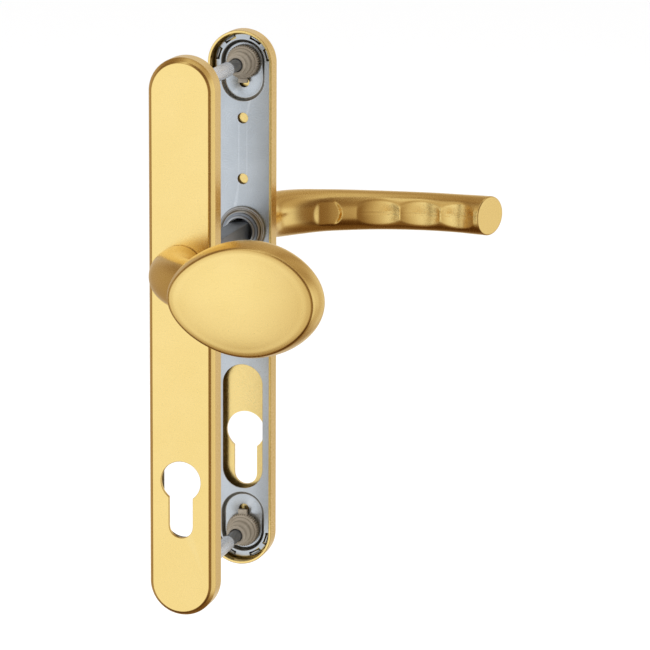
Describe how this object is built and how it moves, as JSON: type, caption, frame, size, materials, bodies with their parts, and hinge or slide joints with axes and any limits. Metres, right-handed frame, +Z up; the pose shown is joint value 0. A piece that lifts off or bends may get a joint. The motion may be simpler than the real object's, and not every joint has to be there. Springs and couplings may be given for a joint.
{
  "type": "door handle set",
  "caption": "Door handle set for a euro-profile lock: fixed egg-shaped knob on one long backplate, lever on the other, square spindle and bolt-through fixings.",
  "frame": {"origin": "on the spindle's axis, in the middle of the door leaf", "axes": "+Z up along the plates, +X towards the lever's tip, +Y through the door from the knob side to the lever side"},
  "size_m": [0.1164, 0.2336, 0.24],
  "materials": {
    "anodised_gold": "satin gold anodised",
    "zinc_plated_steel": "bright zinc plated sheet",
    "bright_steel": "bright plated",
    "dark_steel": "dark oiled",
    "cast_zinc": "die-cast, machined rings",
    "taupe_nylon": "moulded glass-filled nylon"
  },
  "bodies": {
    "fixed_set": {"outside_cover_plate": "anodised_gold", "outside_base_plate": "zinc_plated_steel", "knob": "anodised_gold", "knob_stub": "bright_steel", "knob_spacer": "bright_steel", "knob_locating_pin": "bright_steel", "knob_washer": "bright_steel", "knob_nut": "bright_steel", "outside_upper_bush": "taupe_nylon", "outside_lower_bush": "taupe_nylon", "upper_bolt_sleeve": "bright_steel", "lower_bolt_sleeve": "bright_steel", "inside_cover_plate": "anodised_gold", "inside_base_plate": "zinc_plated_steel", "inside_upper_bush": "taupe_nylon", "inside_lower_bush": "taupe_nylon", "upper_fixing_bolt": "dark_steel", "lower_fixing_bolt": "dark_steel", "spring_housing": "cast_zinc", "lever_bearing": "taupe_nylon", "return_spring": "dark_steel"},
    "lever_set": {"lever_handle": "anodised_gold", "lever_grub_screw": "dark_steel", "square_spindle": "dark_steel", "drive_hub": "cast_zinc", "thrust_washer": "dark_steel", "hub_retaining_ring": "dark_steel"}
  },
  "joints": [
    {"name": "lever_turn", "type": "hinge", "parent": "fixed_set", "child": "lever_set", "pos_m": [0, 0, 0], "axis": [0, 1, 0], "range_deg": [-45, 45], "stiffness_Nm_per_rad": 2.5, "springref_deg": -1.15, "deforming": ["return_spring"]}
  ]
}
